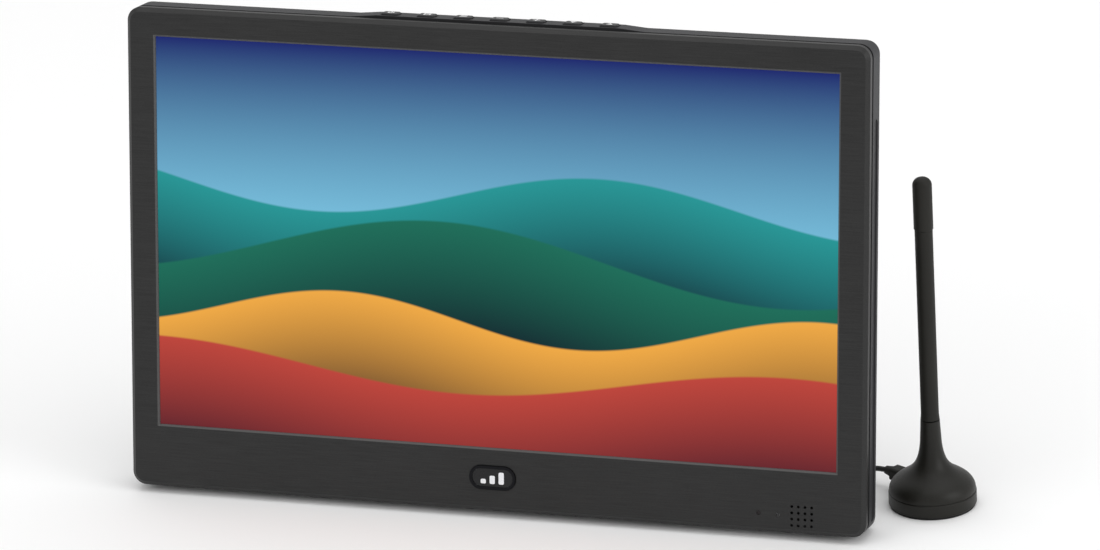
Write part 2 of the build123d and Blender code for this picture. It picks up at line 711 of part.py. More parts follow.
def wire(points, diameter, bend):
    """A round wire along a route of (x, height, depth) points, its corners rounded to one bend radius."""
    route = [inside(*point) for point in points]
    with BuildPart() as strand:
        with BuildLine() as path:
            FilletPolyline(*route, radius=bend)
        start = path.line @ 0
        with BuildSketch(Plane(start, z_dir=path.line % 0)):
            Circle(diameter / 2)
        sweep()
    return strand


with BuildPart() as battery_leads:
    for shift in (-2.2, 0, 2.2):
        height = 112 + shift
        route = [(44, height, 19.6), (40, height, 19.6), (40, height, 15.0), (-44, height, 15.0)]
        add(wire(route, 1.5, 1.6).part)
save(battery_leads, "battery_leads")

with BuildPart() as speaker_leads:
    for shift in (0, 1.6):
        route = [
            (111.0, 7 + shift, 6.4),
            (108.9, 7 + shift, 6.4),
            (108.9, 7 + shift, 10.5),
            (90, 33 + shift, 10.5),
            (-55 - shift, 33 + shift, 10.5),
            (-55 - shift, 36 + shift, 15.5),
            (-55 - shift, 44.5, 15.5),
        ]
        add(wire(route, 1.2, 1.0).part)
save(speaker_leads, "speaker_leads")

with BuildPart() as ribbon_cables:  # panel's board to main board, and button board to main board
    with BuildSketch(across(-82)):
        with BuildLine():
            FilletPolyline((6.6, 18), (6.6, 31), (10.4, 44), (10.4, 55.5), radius=3)
        trace(line_width=0.4)
    extrude(amount=20)
    with BuildSketch(across(-58)):
        with BuildLine():
            FilletPolyline((14.4, 165), (14.4, 158), (15.3, 148), (13.4, 140), (13.4, 120), radius=3)
        trace(line_width=0.4)
    extrude(amount=6)
save(ribbon_cables, "ribbon_cables")

# ---------------------------------------------------------------- antenna input
socket_x, socket_height = SOCKET_PLACE
with BuildPart() as antenna_socket:
    with BuildSketch(behind(9.4)):
        with Locations(SOCKET_PLACE):
            Circle(3.4)
    extrude(amount=-9.0)
    with BuildSketch(behind(13)):
        with Locations(SOCKET_PLACE):
            Circle(5)
    extrude(amount=-3)
    with BuildSketch(behind(18.4)):
        with Locations(SOCKET_PLACE):
            Circle(SOCKET_BORE)
    extrude(amount=7, mode=Mode.SUBTRACT)
save(antenna_socket, "antenna_socket")

with BuildPart() as antenna_jumper:  # thin coax from the socket to the tuner
    route = [
        (socket_x, socket_height - 3.45, 11),
        (socket_x, 36, 11),
        (108, 30, 9),
        (-60, 30, 9),
        (-73, 36, 14),
        (-73, 48.95, 15.6),
    ]
    add(wire(route, 1.4, 3).part)
save(antenna_jumper, "antenna_jumper")

with BuildPart() as antenna_plug:  # right-angle plug, its cord leaving downward
    with BuildSketch(behind(18.4)):
        with Locations(SOCKET_PLACE):
            Circle(SOCKET_BORE - 0.05)
    extrude(amount=5)
    with BuildSketch(behind(18.4)):
        with Locations(SOCKET_PLACE):
            Circle(3.6)
    extrude(amount=-2.2)
    with BuildSketch(behind(20.6)):
        with Locations(SOCKET_PLACE):
            RectangleRounded(8.4, 8.8, 3)
    extrude(amount=-7)
    with BuildSketch(above(socket_height - 4)):
        with Locations((socket_x, 24.1)):
            Circle(2.9)
    with BuildSketch(above(socket_height - 15)):
        with Locations((socket_x, 24.1)):
            Circle(1.6)
    loft()
save(antenna_plug, "antenna_plug")

# ---------------------------------------------------------------- antenna
FOOT_PAD, BASE_RADIUS, NECK_TOP = 0.8, 15.9, 32.8
SLEEVE_BOTTOM, SLEEVE_TOP, TIP = 33.2, 106, 126
STANDING = Plane((ANTENNA_X, ANTENNA_Y, 0), x_dir=(1, 0, 0), z_dir=(0, -1, 0))  # (radius, height)
SPIN = Axis((ANTENNA_X, ANTENNA_Y, 0), (0, 0, 1))

with BuildPart() as antenna_pad:
    with BuildSketch(Plane((ANTENNA_X, ANTENNA_Y, 0))):
        Circle(BASE_RADIUS - 0.5)
    extrude(amount=FOOT_PAD)
save(antenna_pad, "antenna_pad")

with BuildPart() as antenna_base:  # bell-shaped housing, hollow for the magnet
    with BuildSketch(STANDING):
        with BuildLine():
            Polyline((14.3, FOOT_PAD), (BASE_RADIUS - 0.3, FOOT_PAD), (BASE_RADIUS, FOOT_PAD + 0.3))
            Polyline((BASE_RADIUS, FOOT_PAD + 0.3), (BASE_RADIUS, 5.2), (15.5, 5.5), (15.7, 5.8))
            Spline((15.7, 5.8), (14.6, 9.0), (10.2, 12.4), (6.4, 15.8), (4.5, 20.5), (3.9, 25.0))
            Polyline((3.9, 25.0), (3.5, NECK_TOP), (2.3, NECK_TOP), (2.3, 21), (0, 21), (0, 6.2))
            Polyline((0, 6.2), (14.3, 6.2), (14.3, FOOT_PAD))
        make_face()
    revolve(axis=SPIN)
save(antenna_base, "antenna_base")

with BuildPart() as antenna_magnet:
    with BuildSketch(Plane((ANTENNA_X, ANTENNA_Y, FOOT_PAD))):
        Circle(13.2)
    extrude(amount=5.0)
save(antenna_magnet, "antenna_magnet")

with BuildPart() as whip_socket:  # threaded brass insert in the neck
    with BuildSketch(Plane((ANTENNA_X, ANTENNA_Y, 21))):
        Circle(2.3)
    extrude(amount=NECK_TOP - 21)
    with BuildSketch(Plane((ANTENNA_X, ANTENNA_Y, 23))):
        Circle(1.3)
    extrude(amount=12, mode=Mode.SUBTRACT)
save(whip_socket, "whip_socket")

with BuildPart() as whip_rod:  # screw stud below, spring wire above
    with BuildSketch(Plane((ANTENNA_X, ANTENNA_Y, 24))):
        Circle(1.22)
    extrude(amount=14)
    with BuildSketch(Plane((ANTENNA_X, ANTENNA_Y, 38))):
        Circle(0.8)
    extrude(amount=82)
save(whip_rod, "whip_rod")

with BuildPart() as whip_sleeve:
    with BuildSketch(STANDING):
        with BuildLine():
            Polyline(
                (1.22, SLEEVE_BOTTOM),
                (3.45, SLEEVE_BOTTOM),
                (3.25, SLEEVE_BOTTOM + 2),
                (3.25, SLEEVE_TOP),
                (0.8, SLEEVE_TOP),
                (0.8, 38),
                (1.22, 38),
                close=True,
            )
        make_face()
    revolve(axis=SPIN)
save(whip_sleeve, "whip_sleeve")

with BuildPart() as whip_cap:
    with BuildSketch(STANDING):
        with BuildLine():
            Polyline((0, 120), (0.8, 120), (0.8, SLEEVE_TOP), (3.2, SLEEVE_TOP), (3.5, SLEEVE_TOP + 0.4))
            Line((3.5, SLEEVE_TOP + 0.4), (3.5, TIP - 3.2))
            JernArc((3.5, TIP - 3.2), (0, 1), 2.9, 90)
            Polyline((0.6, TIP - 0.3), (0, TIP - 0.3), (0, 120))
        make_face()
    revolve(axis=SPIN)
save(whip_cap, "whip_cap")

# ---------------------------------------------------------------- free cord of the antenna
gland_turn = radians(152)  # the gland points away from the viewer, towards the back of the set
gland_way = Vector(cos(gland_turn), sin(gland_turn), 0)
GLAND = Plane(Vector(ANTENNA_X, ANTENNA_Y, 7.2), x_dir=(-gland_way.Y, gland_way.X, 0), z_dir=gland_way)
with BuildPart() as cable_gland:
    with BuildSketch(GLAND.offset(13.4)):
        RectangleRounded(5.6, 4.8, 1.2)
    extrude(amount=5.2)
    with BuildSketch(GLAND.offset(18.6)):
        Circle(2.2)
    with BuildSketch(GLAND.offset(22.4)):
        Circle(1.5)
    loft()
    add(antenna_base.part, mode=Mode.SUBTRACT)
    with BuildSketch(Plane((ANTENNA_X, ANTENNA_Y, 0))):
        Circle(14.3)
    extrude(amount=6.2, mode=Mode.SUBTRACT)
save(cable_gland, "cable_gland")


def cord_tube(route):
    """A cord of straight runs joined by tangent arcs, each arc as large as its two runs allow."""
    corners = [Vector(*point) for point in route]
    radii = []
    for before, corner, after in zip(corners, corners[1:], corners[2:]):
        shorter = min((corner - before).length, (after - corner).length)
        turn = radians((corner - before).get_angle(after - corner))
        radii.append(0.45 * shorter / tan(turn / 2))
    with BuildPart() as tube:
        with BuildLine() as path:
            FilletPolyline(*corners, radius=radii)
        with BuildSketch(Plane(corners[0], z_dir=path.line % 0)):
            Circle(CORD_DIAMETER / 2)
        sweep()
    print("cord radii", [round(radius, 1) for radius in radii])
    length = sum(edge.length for edge in path.edges())
    print("cord length", round(length, 1), "volume", round(tube.part.volume, 1))
    print("section times length", round(pi * (CORD_DIAMETER / 2) ** 2 * length, 1))
    return tube


gland_end = GLAND.from_local_coords((0, 0, 22.4))
plug_end = inside(socket_x, socket_height - 15, 24.1)
floor = CORD_DIAMETER / 2 + 0.05  # height of the cord's middle where it lies on the table
CORD_TO_COIL = [
    (gland_end.X, gland_end.Y, gland_end.Z),
    (128.2, 43.7, 6.5),
    (122.0, 47.8, 3.2),
    (115.0, 53.6, floor),
    (107.6, 61.2, floor + 0.02),
    (98.6, 69.0, floor),
    (88.0, COIL_Y + COIL_RADIUS, floor + 0.5),
]
CORD_TO_SET = [
    (plug_end.X, plug_end.Y, plug_end.Z),
    (118.0, 16.6, 24.6),
    (118.1, 16.8, 17.0),
    (117.8, 19.6, 9.4),
    (116.8, 25.4, 3.4),
    (114.6, 33.4, floor),
    (109.6, 41.4, floor + 0.02),
    (102.2, 47.6, 2.4),
    (93.6, 50.6, 5.0),
    (85.6, COIL_Y - COIL_RADIUS, 6.6),
]
with BuildPart() as antenna_cord:
    for route in (CORD_TO_COIL, CORD_TO_SET):
        add(cord_tube(route).part)
save(antenna_cord, "antenna_cord")

with BuildPart() as cord_coil:  # outer shape of the tied coil behind the set
    with BuildSketch(Plane((COIL_X, COIL_Y, 0), x_dir=(1, 0, 0), z_dir=(0, -1, 0))):
        with Locations((COIL_RADIUS, COIL_HEIGHT / 2)):
            RectangleRounded(2 * COIL_HALF, COIL_HEIGHT, 1.2)
    revolve(axis=Axis((COIL_X, COIL_Y, 0), (0, 0, 1)))
save(cord_coil, "cord_coil")
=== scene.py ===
"""Looks of the portable television: materials, lit picture, button marks, antenna cord and studio.

Everything is in metres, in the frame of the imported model.  Materials measure the leaning set along its
own directions, in millimetres: x to the right, height up the set, depth behind the front face.
"""

import json
from math import cos, pi, radians, sin

import bmesh
import bpy
from mathutils import Matrix, Vector


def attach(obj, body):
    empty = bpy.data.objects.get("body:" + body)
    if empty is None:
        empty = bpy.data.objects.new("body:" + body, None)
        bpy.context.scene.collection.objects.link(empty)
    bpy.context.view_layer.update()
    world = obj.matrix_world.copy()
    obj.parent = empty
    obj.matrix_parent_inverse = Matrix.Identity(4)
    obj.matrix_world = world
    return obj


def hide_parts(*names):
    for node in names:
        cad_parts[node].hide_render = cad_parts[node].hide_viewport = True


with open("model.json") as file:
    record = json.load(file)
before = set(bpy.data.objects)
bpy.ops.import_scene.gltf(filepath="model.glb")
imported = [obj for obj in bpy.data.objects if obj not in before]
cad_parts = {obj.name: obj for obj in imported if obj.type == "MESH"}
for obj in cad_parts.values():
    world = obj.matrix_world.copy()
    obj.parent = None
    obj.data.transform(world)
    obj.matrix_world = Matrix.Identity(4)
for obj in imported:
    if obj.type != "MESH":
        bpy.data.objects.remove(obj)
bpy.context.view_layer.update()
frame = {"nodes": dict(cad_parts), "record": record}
MM = 0.001

# ---------------------------------------------------------------- the leaning set's own directions
LEAN = radians(10)
FOOT_DEPTH, UNDERSIDE_LIFT = 12.0, 3.0
UP = Vector((0, sin(LEAN), cos(LEAN)))
BACK = Vector((0, cos(LEAN), -sin(LEAN)))
SET_ORIGIN = Vector((0, -(FOOT_DEPTH - UNDERSIDE_LIFT * sin(LEAN)) / cos(LEAN), UNDERSIDE_LIFT)) * MM


def inside(x, height, depth):
    """A point given along the set's own directions, in millimetres, as a point of the row frame."""
    return SET_ORIGIN + (Vector((x, 0, 0)) + UP * height + BACK * depth) * MM


# ---------------------------------------------------------------- camera
LENS, SENSOR = 227.3, 36.0
VIEW_AZIMUTH, VIEW_ELEVATION, VIEW_DISTANCE = radians(17.82), radians(11.975), 2491.3
VIEW_CENTRE = inside(0, 88, 0)
AIM = inside(21.7, 88.6, 0)


def make_camera():
    """A long lens from the right, its picture upright along the set's own up direction."""
    data = bpy.data.cameras.new("camera")
    data.lens, data.sensor_width = LENS, SENSOR
    data.clip_start, data.clip_end = 0.05, 50
    camera = bpy.data.objects.new("camera", data)
    bpy.context.collection.objects.link(camera)
    way = (
        Vector((sin(VIEW_AZIMUTH) * cos(VIEW_ELEVATION), 0, 0))
        - BACK * cos(VIEW_AZIMUTH) * cos(VIEW_ELEVATION)
        + UP * sin(VIEW_ELEVATION)
    )
    place = VIEW_CENTRE + way * VIEW_DISTANCE * MM
    forward = (AIM - place).normalized()
    right = forward.cross(UP).normalized()
    above = right.cross(forward)
    turn = Matrix((right, above, -forward)).transposed()
    camera.matrix_world = Matrix.Translation(place) @ turn.to_4x4()
    bpy.context.scene.camera = camera


make_camera()

# ---------------------------------------------------------------- the antenna's cord
CORD_DIAMETER = 2.0
ANTENNA = Vector(next(m["pos_m"] for m in frame["record"]["mounts"] if m["name"] == "antenna_foot"))
GLAND_TURN = radians(152)
GLAND_END = ANTENNA + Vector((cos(GLAND_TURN) * 22.4, sin(GLAND_TURN) * 22.4, 7.2)) * MM
PLUG_END = inside(118, 31, 24.1)
COIL_CENTRE, COIL_RADIUS = Vector((85, 62, 0)), 11.0
FLOOR_LEVEL = CORD_DIAMETER / 2 + 0.05
CORD_TO_COIL = [
    (128.2, 43.7, 6.5),
    (122.0, 47.8, 3.2),
    (115.0, 53.6, FLOOR_LEVEL),
    (107.6, 61.2, FLOOR_LEVEL + 0.02),
    (98.6, 69.0, FLOOR_LEVEL),
]
COIL_TO_SET = [
    (93.6, 50.6, 5.0),
    (102.2, 47.6, 2.4),
    (109.6, 41.4, FLOOR_LEVEL + 0.02),
    (114.6, 33.4, FLOOR_LEVEL),
    (116.8, 25.4, 3.4),
    (117.8, 19.6, 9.4),
    (118.1, 16.8, 17.0),
    (118.0, 16.6, 24.6),
]
COIL_TURNS, POINTS_PER_TURN, TURNS_PER_LAYER = 12.5, 14, 3.0
COIL_LAYERS, LAYER_RISE, TURN_PITCH = 4, 2.0, 2.05
COIL_FLOOR, CLIMB_START = 1.6, 0.86


def coil_points():
    """Turns of the tied coil, wound in layers: the first from outside in, the next from inside out."""
    points = []
    for step in range(1, int(COIL_TURNS * POINTS_PER_TURN)):
        turn = step / POINTS_PER_TURN
        layer = min(int(turn / TURNS_PER_LAYER), COIL_LAYERS - 1)
        along = min(turn / TURNS_PER_LAYER - layer, 1.0)
        outward = along if layer % 2 else 1 - along
        radius = COIL_RADIUS + TURN_PITCH * 2 * (outward - 0.5) + 0.18 * sin(turn * 5.3)
        climb = max(0.0, along - CLIMB_START) / (1 - CLIMB_START) if layer < COIL_LAYERS - 1 else 0.0
        angle = pi / 2 + 2 * pi * turn
        place = Vector((cos(angle) * radius, sin(angle) * radius, COIL_FLOOR + LAYER_RISE * (layer + climb)))
        points.append(tuple(COIL_CENTRE + place))
    return points


def smooth_curve(name, points, thickness):
    """A round cord along one NURBS spline, its points in the row frame, in metres."""
    curve = bpy.data.curves.new(name, "CURVE")
    curve.dimensions = "3D"
    spline = curve.splines.new("NURBS")
    spline.points.add(len(points) - 1)
    for place, point in zip(spline.points, points):
        place.co, place.radius = (*point, 1), thickness / 2 * MM
    spline.order_u = 3
    spline.use_endpoint_u = True
    spline.resolution_u = 6
    curve.bevel_depth = 1.0  # times each point's radius
    curve.bevel_resolution = 5
    curve.use_fill_caps = True
    cord = bpy.data.objects.new(name, curve)
    bpy.context.collection.objects.link(cord)
    return cord


cord_route = [GLAND_END]
cord_route += [Vector(point) * MM for point in CORD_TO_COIL + coil_points() + COIL_TO_SET]
cord_route += [PLUG_END]
cord = smooth_curve("antenna_lead", cord_route, CORD_DIAMETER)
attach(cord, "set")
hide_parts("antenna_cord", "cord_coil")


# ---------------------------------------------------------------- node helpers
def srgb(red, green, blue):
    """A colour given as 0-255 screen values, in the linear values that shaders use."""

    def linear(value):
        value /= 255
        return value / 12.92 if value <= 0.04045 else ((value + 0.055) / 1.055) ** 2.4

    return (linear(red), linear(green), linear(blue), 1)


def node(tree, kind, *inputs, **settings):
    """Adds a node; each input is a value, a socket to link from, or None to leave it alone."""
    made = tree.nodes.new(kind)
    for name, value in settings.items():
        setattr(made, name, value)
    for socket, value in zip(made.inputs, inputs):
        if isinstance(value, bpy.types.NodeSocket):
            tree.links.new(value, socket)
        elif value is not None:
            socket.default_value = value
    return made


def calc(tree, operation, *inputs):
    return node(tree, "ShaderNodeMath", *inputs, operation=operation).outputs[0]


def dot(tree, vector, way):
    return node(tree, "ShaderNodeVectorMath", vector, tuple(way), operation="DOT_PRODUCT").outputs["Value"]


def combine(tree, x, y, z):
    return node(tree, "ShaderNodeCombineXYZ", x, y, z).outputs[0]


def noise(tree, vector, scale=1.0, detail=3.0, roughness=0.55):
    """Grey noise, about 0.5 on average."""
    made = node(tree, "ShaderNodeTexNoise", noise_dimensions="3D")
    tree.links.new(vector, made.inputs["Vector"])
    made.inputs["Scale"].default_value = scale
    made.inputs["Detail"].default_value = detail
    made.inputs["Roughness"].default_value = roughness
    return made.outputs[0]


def span(tree, value, low, high, to_low=0.0, to_high=1.0):
    """Maps low..high to to_low..to_high, held at the ends."""
    return node(tree, "ShaderNodeMapRange", value, low, high, to_low, to_high).outputs[0]


def mix(tree, factor, first, second):
    """Blend of two colours, each a value or a socket."""
    made = tree.nodes.new("ShaderNodeMix")
    made.data_type = "RGBA"
    for socket, value in zip((made.inputs[0], made.inputs[6], made.inputs[7]), (factor, first, second)):
        if isinstance(value, bpy.types.NodeSocket):
            tree.links.new(value, socket)
        else:
            socket.default_value = value
    return made.outputs[2]


def surface(name, **values):
    """A new material with a Principled shader; values are constants on the shader's own sockets."""
    material = bpy.data.materials.new(name)
    material.use_nodes = True
    shader = material.node_tree.nodes["Principled BSDF"]
    for socket, value in values.items():
        shader.inputs[socket.replace("_", " ")].default_value = value
    return material, material.node_tree, shader


def row_frame(tree):
    """Position in the row frame, in millimetres; every object sits at the origin."""
    place = node(tree, "ShaderNodeTexCoord").outputs["Object"]
    return node(tree, "ShaderNodeVectorMath", place, (1 / MM,) * 3, operation="MULTIPLY").outputs[0]


def set_frame(tree):
    """(x, height, depth) along the leaning set, in millimetres."""
    place = row_frame(tree)
    place = node(tree, "ShaderNodeVectorMath", place, tuple(SET_ORIGIN / MM), operation="SUBTRACT").outputs[0]
    return dot(tree, place, (1, 0, 0)), dot(tree, place, UP), dot(tree, place, BACK)


def bump(tree, shader, height, strength, distance, edge=0.0):
    """Bumps the surface by a height map, over edges rounded to a small radius in millimetres."""
    made = tree.nodes.new("ShaderNodeBump")
    made.inputs["Strength"].default_value = strength
    made.inputs["Distance"].default_value = distance * MM
    tree.links.new(height, made.inputs["Height"])
    if edge:
        rounded = tree.nodes.new("ShaderNodeBevel")
        rounded.samples = 6
        rounded.inputs["Radius"].default_value = edge * MM
        tree.links.new(rounded.outputs[0], made.inputs["Normal"])
    tree.links.new(made.outputs[0], shader.inputs["Normal"])


# ---------------------------------------------------------------- plastics and rubbers
PICTURE_WIDTH, PICTURE_HEIGHT, PICTURE_BOTTOM = 256.1, 144.0, 23.3
SEAM_END = 5.6  # depth where the groove between the two casings ends
CHAMFER_HIGHLIGHT_FADE = (0.75, 0.55)  # distance out from the picture where the painted highlight on its chamfer fades in
# strength and grey of the painted highlight on the chamfer
CHAMFER_HIGHLIGHT_SHARE, CHAMFER_HIGHLIGHT_GREY = 0.32, srgb(128, 128, 128)


def hairline_plastic():
    """Front casing: charcoal plastic with a fine grain of long horizontal hairlines, and a painted highlight on the
    chamfer round the picture.
    """
    material, tree, shader = surface("hairline_plastic", Specular_IOR_Level=0.3)
    x, height, depth = set_frame(tree)
    long_lines = noise(tree, combine(tree, calc(tree, "MULTIPLY", x, 0.03), height, depth), 2.4, 4, 0.7)
    short_lines = noise(tree, combine(tree, calc(tree, "MULTIPLY", x, 0.22), height, depth), 4.5, 2, 0.6)
    grain = calc(tree, "ADD", calc(tree, "MULTIPLY", long_lines, 0.65), calc(tree, "MULTIPLY", short_lines, 0.35))
    mottle = noise(tree, combine(tree, x, height, depth), 0.02, 2)
    tone = calc(tree, "ADD", span(tree, grain, 0.3, 0.7, 0.0, 0.8), calc(tree, "MULTIPLY", mottle, 0.25))
    colour = mix(tree, tone, srgb(14, 14, 14), srgb(48, 48, 48))
    beside = calc(tree, "SUBTRACT", calc(tree, "ABSOLUTE", x), PICTURE_WIDTH / 2)
    middle = PICTURE_BOTTOM + PICTURE_HEIGHT / 2
    from_middle = calc(tree, "ABSOLUTE", calc(tree, "SUBTRACT", height, middle))
    beyond = calc(tree, "SUBTRACT", from_middle, PICTURE_HEIGHT / 2)
    # painted highlight: a lighter grey band on the chamfer along the picture's edge
    chamfer_highlight = span(tree, calc(tree, "MAXIMUM", beside, beyond), *CHAMFER_HIGHLIGHT_FADE)
    colour = mix(tree, calc(tree, "MULTIPLY", chamfer_highlight, CHAMFER_HIGHLIGHT_SHARE), colour, CHAMFER_HIGHLIGHT_GREY)
    tree.links.new(colour, shader.inputs["Base Color"])
    tree.links.new(span(tree, grain, 0.3, 0.7, 0.36, 0.52), shader.inputs["Roughness"])
    bump(tree, shader, grain, 0.35, 0.03, edge=0.22)
    return material


def moulded_plastic(name, dark, light, roughness=0.5, grain=1.6, relief=0.25, edge=0.25, specular=0.3):
    """Moulded plastic with a spark-eroded grain and faint tone changes."""
    material, tree, shader = surface(name, Specular_IOR_Level=specular)
    place = row_frame(tree)
    fine = noise(tree, place, grain, 3, 0.6)
    broad = noise(tree, place, 0.03, 2, 0.5)
    tone = calc(tree, "ADD", calc(tree, "MULTIPLY", fine, 0.5), calc(tree, "MULTIPLY", broad, 0.5))
    tree.links.new(mix(tree, span(tree, tone, 0.3, 0.7), dark, light), shader.inputs["Base Color"])
    tree.links.new(span(tree, fine, 0.3, 0.7, roughness - 0.07, roughness + 0.07), shader.inputs["Roughness"])
    bump(tree, shader, fine, relief, 0.04, edge)
    return material


def cover_plastic():
    """Rear casing: grained plastic, with painted shade on the floor of the seam behind the front casing."""
    material = moulded_plastic("cover_plastic", srgb(38, 38, 40), srgb(50, 50, 53), 0.55, 1.8, 0.4)
    tree = material.node_tree
    colour = tree.nodes["Principled BSDF"].inputs["Base Color"]
    depth = set_frame(tree)[2]
    # painted shade: near-black on the cover forward of SEAM_END, where the groove's floor lies in shade
    seam_shade = span(tree, depth, SEAM_END + 0.1, SEAM_END - 0.1)
    tree.links.new(mix(tree, seam_shade, colour.links[0].from_socket, srgb(8, 8, 8)), colour)
    return material


def metal(name, dark, light, roughness=0.3, stretch=(1, 1, 1), grain=2.0):
    """Metal whose brushed grain follows the direction in which stretch is small."""
    material, tree, shader = surface(name, Metallic=1.0)
    place = node(tree, "ShaderNodeVectorMath", row_frame(tree), stretch, operation="MULTIPLY").outputs[0]
    fine = noise(tree, place, grain, 4, 0.6)
    tree.links.new(mix(tree, span(tree, fine, 0.3, 0.7), dark, light), shader.inputs["Base Color"])
    tree.links.new(span(tree, fine, 0.3, 0.7, roughness - 0.08, roughness + 0.1), shader.inputs["Roughness"])
    bump(tree, shader, fine, 0.12, 0.02, 0.1)
    return material


BADGE_HEIGHT, BARS_REACH, BARS_RISE = 12.4, 6.0, 2.9  # the badge's middle, and the field round its bars


def badge_metal():
    """The badge's bright rising bars, inside a rim in satin black."""
    material = metal("badge_trim", srgb(222, 222, 226), srgb(244, 244, 246), 0.14)
    tree = material.node_tree
    colour = tree.nodes["Principled BSDF"].inputs["Base Color"]
    x, height = set_frame(tree)[:2]
    beside = calc(tree, "SUBTRACT", calc(tree, "ABSOLUTE", x), BARS_REACH)
    from_middle = calc(tree, "ABSOLUTE", calc(tree, "SUBTRACT", height, BADGE_HEIGHT))
    beyond = calc(tree, "SUBTRACT", from_middle, BARS_RISE)
    rim = span(tree, calc(tree, "MAXIMUM", beside, beyond), -0.1, 0.1)
    tree.links.new(mix(tree, rim, colour.links[0].from_socket, srgb(30, 30, 32)), colour)
    return material


def clear_plastic(name, tint, roughness=0.15):
    """Clear moulded plastic; a little of it scatters."""
    material, tree, shader = surface(name, Transmission_Weight=0.85, IOR=1.49)
    fine = noise(tree, row_frame(tree), 0.8, 2)
    tree.links.new(mix(tree, calc(tree, "MULTIPLY", fine, 0.2), tint, srgb(245, 248, 250)), shader.inputs["Base Color"])
    tree.links.new(span(tree, fine, 0.3, 0.7, roughness * 0.7, roughness * 1.3), shader.inputs["Roughness"])
    return material


def circuit_board():
    """Green solder resist with a faint pattern of copper tracks and pale pads."""
    material, tree, shader = surface("circuit_board", Specular_IOR_Level=0.5)
    x, height, depth = set_frame(tree)
    cells = node(tree, "ShaderNodeTexBrick", combine(tree, x, calc(tree, "ADD", height, depth), 0.0))
    cells.inputs["Scale"].default_value = 0.35
    cells.inputs["Mortar Size"].default_value = 0.08
    tracks = noise(tree, combine(tree, x, height, depth), 0.5, 1)
    green = mix(tree, span(tree, tracks, 0.48, 0.52), srgb(12, 70, 36), srgb(22, 96, 52))
    tree.links.new(mix(tree, cells.outputs["Fac"], green, srgb(30, 116, 66)), shader.inputs["Base Color"])
    tree.links.new(span(tree, tracks, 0.3, 0.7, 0.3, 0.45), shader.inputs["Roughness"])
    bump(tree, shader, tracks, 0.1, 0.03)
    return material


# ---------------------------------------------------------------- the lit picture
SKY_TOP, SKY_LOW = srgb(30, 40, 110), srgb(120, 190, 220)
WAVES = [  # height of each wave's middle, its swing and length in millimetres, its start and its colour
    (92, 9, 210, 0.4, srgb(40, 150, 150)),
    (70, 12, 260, 2.1, srgb(30, 110, 90)),
    (46, 8, 180, 3.6, srgb(240, 170, 70)),
    (26, 7, 240, 5.0, srgb(190, 70, 60)),
]
SKY_START, SHADE_DEPTH, WAVE_SHADE = 80, 45, srgb(16, 20, 40)
CREST_BLUR = 0.4


def picture_colour(tree):
    """A generic picture of soft waves of colour under a plain sky, each wave in front of the one before it."""
    x, height = set_frame(tree)[:2]
    rise = calc(tree, "SUBTRACT", height, PICTURE_BOTTOM)
    colour = mix(tree, span(tree, rise, SKY_START, PICTURE_HEIGHT), SKY_LOW, SKY_TOP)
    for middle, swing, length, start, tint in WAVES:
        phase = calc(tree, "ADD", calc(tree, "MULTIPLY", x, 2 * pi / length), start)
        crest = calc(tree, "ADD", calc(tree, "MULTIPLY", calc(tree, "SINE", phase), swing), middle)
        under = calc(tree, "SUBTRACT", crest, rise)
        shaded = mix(tree, span(tree, under, 0, SHADE_DEPTH), tint, WAVE_SHADE)
        colour = mix(tree, span(tree, under, -CREST_BLUR, CREST_BLUR), colour, shaded)
    return colour


def screen():
    """Display front: the lit picture behind a dark, slightly matt polariser."""
    material, tree, shader = surface("screen", Specular_IOR_Level=0.02, Emission_Strength=1.0)
    sparkle = noise(tree, row_frame(tree), 6.0, 2)
    tree.links.new(mix(tree, sparkle, srgb(3, 3, 4), srgb(6, 6, 8)), shader.inputs["Base Color"])
    tree.links.new(span(tree, sparkle, 0.3, 0.7, 0.22, 0.3), shader.inputs["Roughness"])
    tree.links.new(picture_colour(tree), shader.inputs["Emission Color"])
    return material


